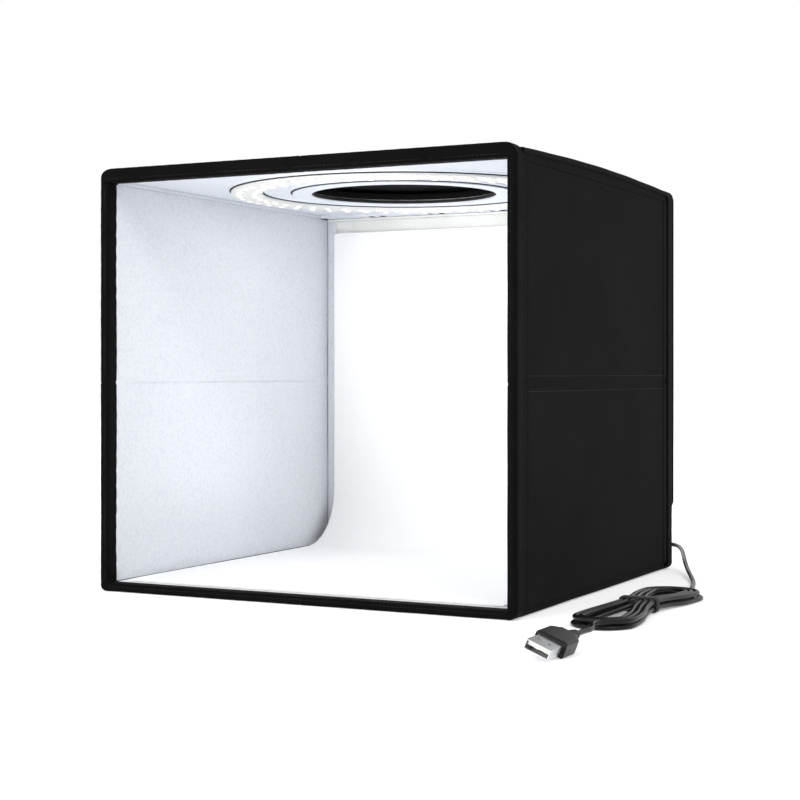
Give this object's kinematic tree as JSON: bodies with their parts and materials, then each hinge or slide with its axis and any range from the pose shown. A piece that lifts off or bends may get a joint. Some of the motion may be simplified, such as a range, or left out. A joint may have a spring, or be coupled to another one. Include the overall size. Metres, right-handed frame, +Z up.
{
  "type": "folding light tent",
  "caption": "Cube-shaped folding photo tent, open in front, with a ceiling LED ring, round viewing port with flap, white sweep backdrop and USB lead.",
  "frame": {"origin": "on the table, under the middle of the tent", "axes": "+Z up, -Y out of the open front, +X to the side where the USB lead lies"},
  "size_m": [0.3191, 0.3834, 0.2422],
  "materials": {
    "binding": "black woven binding over padding",
    "cloth": "black woven cloth",
    "board": "stiff board",
    "silver": "silver pebble-embossed lining",
    "pale_lining": "pale satin lining",
    "tape": "off-white hook and loop tape",
    "sheet": "matt white",
    "circuit": "white solder mask with LED packages",
    "dark_ring": "matt black",
    "rubber": "satin charcoal",
    "tie": "matt black",
    "plug_metal": "bright plated",
    "tongue": "white plastic"
  },
  "bodies": {
    "base": {"floor_front_roll": "binding", "floor_rear_roll": "binding", "floor_skin": "cloth", "floor_board": "board", "floor_lining": "pale_lining", "cable_gland": "rubber", "cord_lead": "rubber", "cord_hank": "rubber", "hank_tie": "tie", "cord_tail": "rubber", "plug_relief": "rubber", "plug_body": "rubber", "plug_shell": "plug_metal", "plug_tongue": "tongue", "light_lead": "rubber"},
    "lower_left": {"lower_left_front_roll": "binding", "lower_left_rear_roll": "binding", "lower_left_skin": "cloth", "lower_left_board": "board", "lower_left_lining": "silver"},
    "upper_left": {"upper_left_front_roll": "binding", "upper_left_rear_roll": "binding", "upper_left_skin": "cloth", "upper_left_board": "board", "upper_left_lining": "silver"},
    "lower_right": {"lower_right_front_roll": "binding", "lower_right_rear_roll": "binding", "lower_right_skin": "cloth", "lower_right_board": "board", "lower_right_lining": "silver"},
    "upper_right": {"upper_right_front_roll": "binding", "upper_right_rear_roll": "binding", "upper_right_skin": "cloth", "upper_right_board": "board", "upper_right_lining": "silver"},
    "roof": {"roof_front_roll": "binding", "roof_rear_roll": "binding", "roof_left_rim": "binding", "roof_right_rim": "binding", "roof_skin": "cloth", "roof_board": "board", "roof_lining": "pale_lining", "light_carrier": "dark_ring", "light_board": "circuit", "port_ring": "dark_ring", "port_face": "pale_lining", "light_terminal": "tongue", "flap_hinge_strip": "binding", "flap_loop_pad": "binding"},
    "flap": {"view_flap": "cloth", "flap_pull_tab": "binding", "flap_hook_pad": "binding"},
    "rear": {"rear_skin": "cloth", "rear_board": "board", "rear_lining": "pale_lining", "backdrop_hook_tape": "tape"},
    "backdrop": {"backdrop_sheet": "sheet", "backdrop_loop_tape": "tape"}
  },
  "joints": [
    {"name": "fold", "type": "hinge", "parent": "base", "child": "lower_left", "pos_m": [-0.1232, 0, 0.00515], "axis": [0, 1, 0], "range_deg": [0, 86], "deforming": ["backdrop_sheet", "backdrop_loop_tape", "light_lead"]},
    {"name": "left_crease", "type": "hinge", "parent": "lower_left", "child": "upper_left", "pos_m": [-0.128, 0, 0.1185], "axis": [0, 1, 0], "range_deg": [-172, 0]},
    {"name": "roof_hinge", "type": "hinge", "parent": "upper_left", "child": "roof", "pos_m": [-0.1232, 0, 0.23185], "axis": [0, 1, 0], "range_deg": [0, 86]},
    {"name": "right_fold", "type": "hinge", "parent": "base", "child": "lower_right", "pos_m": [0.1232, 0, 0.00515], "axis": [0, 1, 0], "range_deg": [-86, 0]},
    {"name": "right_crease", "type": "hinge", "parent": "lower_right", "child": "upper_right", "pos_m": [0.128, 0, 0.1185], "axis": [0, 1, 0], "range_deg": [0, 172]},
    {"name": "flap_lift", "type": "hinge", "parent": "roof", "child": "flap", "pos_m": [-0.062, 0, 0.24165], "axis": [0, -1, 0], "range_deg": [0, 170]},
    {"name": "rear_open", "type": "hinge", "parent": "base", "child": "rear", "pos_m": [0, 0.12445, 0.0057], "axis": [-1, 0, 0], "range_deg": [0, 90]},
    {"name": "backdrop_pull", "type": "slide", "parent": "base", "child": "backdrop", "axis": [0, -1, 0], "range_m": [0, 0.26]}
  ],
  "couplings": [
    {"joint": "left_crease", "follows": "fold", "ratio": -2},
    {"joint": "roof_hinge", "follows": "fold", "ratio": 1},
    {"joint": "right_fold", "follows": "fold", "ratio": -1},
    {"joint": "right_crease", "follows": "fold", "ratio": 2}
  ]
}
